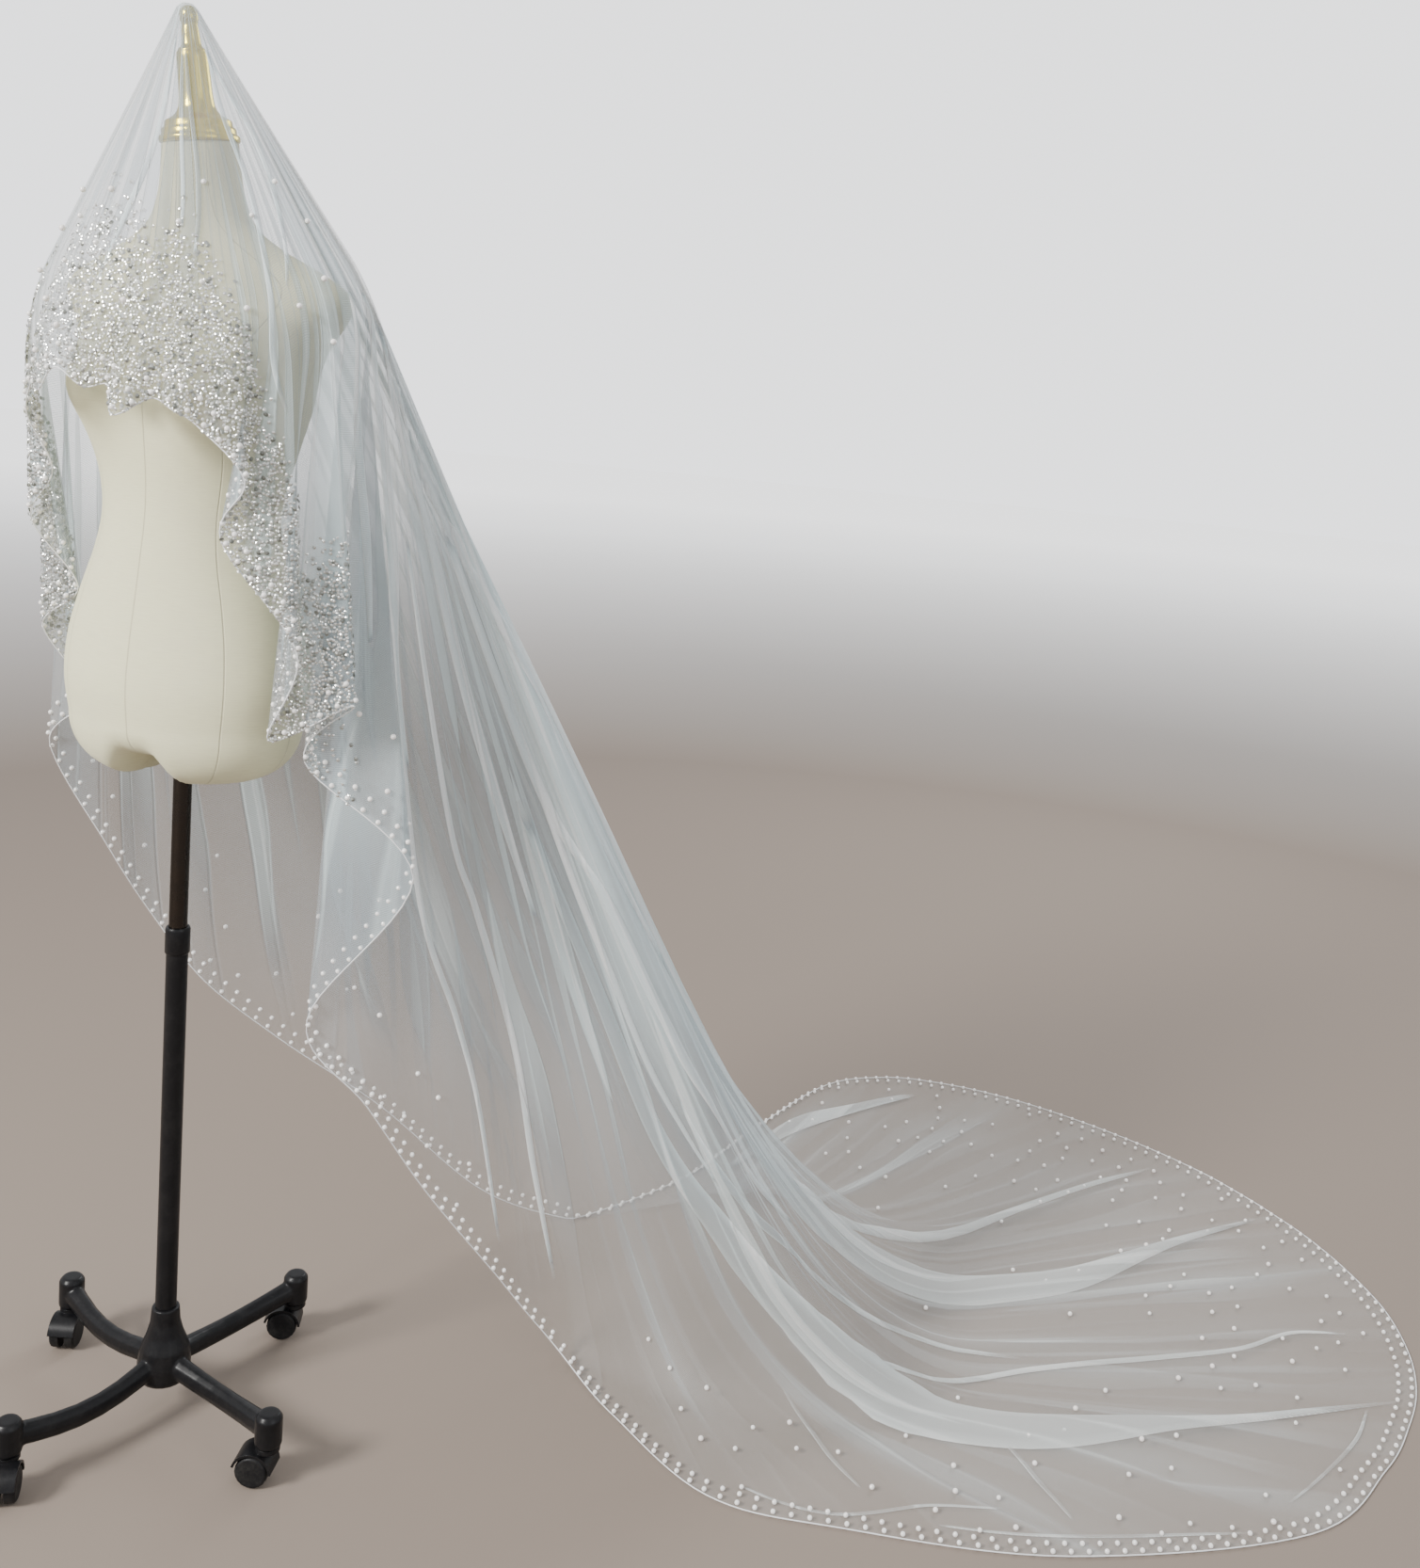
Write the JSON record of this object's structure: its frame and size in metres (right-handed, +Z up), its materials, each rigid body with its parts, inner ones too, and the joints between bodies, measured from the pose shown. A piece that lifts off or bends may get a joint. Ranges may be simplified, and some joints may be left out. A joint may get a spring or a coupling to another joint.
{
  "type": "bridal veil on a dress form",
  "caption": "Cathedral tulle veil, a pearl-edged oval hung at the crown of a limbless dress form on a wheeled stand; it falls in side cascades and spreads into a round train.",
  "frame": {"origin": "middle of the whole part's box at the floor", "axes": "the dress form faces -Y, the wearer's left is +X, +Z is up; the train sweeps towards +X and +Y"},
  "size_m": [1.8116, 1.7264, 1.708],
  "materials": {
    "tulle": "sheer white net, pearls and sequins",
    "form_linen": "cream linen stretched over the form",
    "cap_brass": "polished",
    "tube_chrome": "dark polished",
    "stand_black": "gloss black",
    "wheel_black": "satin black"
  },
  "bodies": {
    "veil_and_stand": {"veil_crown": "tulle", "veil_front": "tulle", "veil_left_cascade": "tulle", "veil_left_side": "tulle", "veil_back_fall": "tulle", "veil_train": "tulle", "veil_right_side": "tulle", "veil_right_cascade": "tulle", "dress_form": "form_linen", "neck_cap": "cap_brass", "finial": "cap_brass", "inner_tube": "tube_chrome", "outer_tube": "stand_black", "stand_base": "stand_black"},
    "fork_1": {"caster_fork_1": "stand_black"},
    "wheels_1": {"caster_wheels_1": "wheel_black"},
    "fork_2": {"caster_fork_2": "stand_black"},
    "wheels_2": {"caster_wheels_2": "wheel_black"},
    "fork_3": {"caster_fork_3": "stand_black"},
    "wheels_3": {"caster_wheels_3": "wheel_black"},
    "fork_4": {"caster_fork_4": "stand_black"},
    "wheels_4": {"caster_wheels_4": "wheel_black"}
  },
  "joints": [
    {"name": "caster_swivel_1", "type": "hinge", "parent": "veil_and_stand", "child": "fork_1", "pos_m": [-0.59489, -0.42207, 0.06601], "axis": [0, 0, 1], "continuous": true},
    {"name": "wheel_spin_1", "type": "hinge", "parent": "fork_1", "child": "wheels_1", "pos_m": [-0.60849, -0.42841, 0.02031], "axis": [0.4226, -0.9063, 0], "continuous": true},
    {"name": "caster_swivel_2", "type": "hinge", "parent": "veil_and_stand", "child": "fork_2", "pos_m": [-0.8534, -0.56243, 0.06601], "axis": [0, 0, 1], "continuous": true},
    {"name": "wheel_spin_2", "type": "hinge", "parent": "fork_2", "child": "wheels_2", "pos_m": [-0.84828, -0.57653, 0.02031], "axis": [0.9397, 0.342, 0], "continuous": true},
    {"name": "caster_swivel_3", "type": "hinge", "parent": "veil_and_stand", "child": "fork_3", "pos_m": [-0.71305, -0.82094, 0.06601], "axis": [0, 0, 1], "continuous": true},
    {"name": "wheel_spin_3", "type": "hinge", "parent": "fork_3", "child": "wheels_3", "pos_m": [-0.70555, -0.83393, 0.02031], "axis": [0.866, 0.5, 0], "continuous": true},
    {"name": "caster_swivel_4", "type": "hinge", "parent": "veil_and_stand", "child": "fork_4", "pos_m": [-0.45454, -0.68058, 0.06601], "axis": [0, 0, 1], "continuous": true},
    {"name": "wheel_spin_4", "type": "hinge", "parent": "fork_4", "child": "wheels_4", "pos_m": [-0.46903, -0.68447, 0.02031], "axis": [0.2588, -0.9659, 0], "continuous": true}
  ]
}
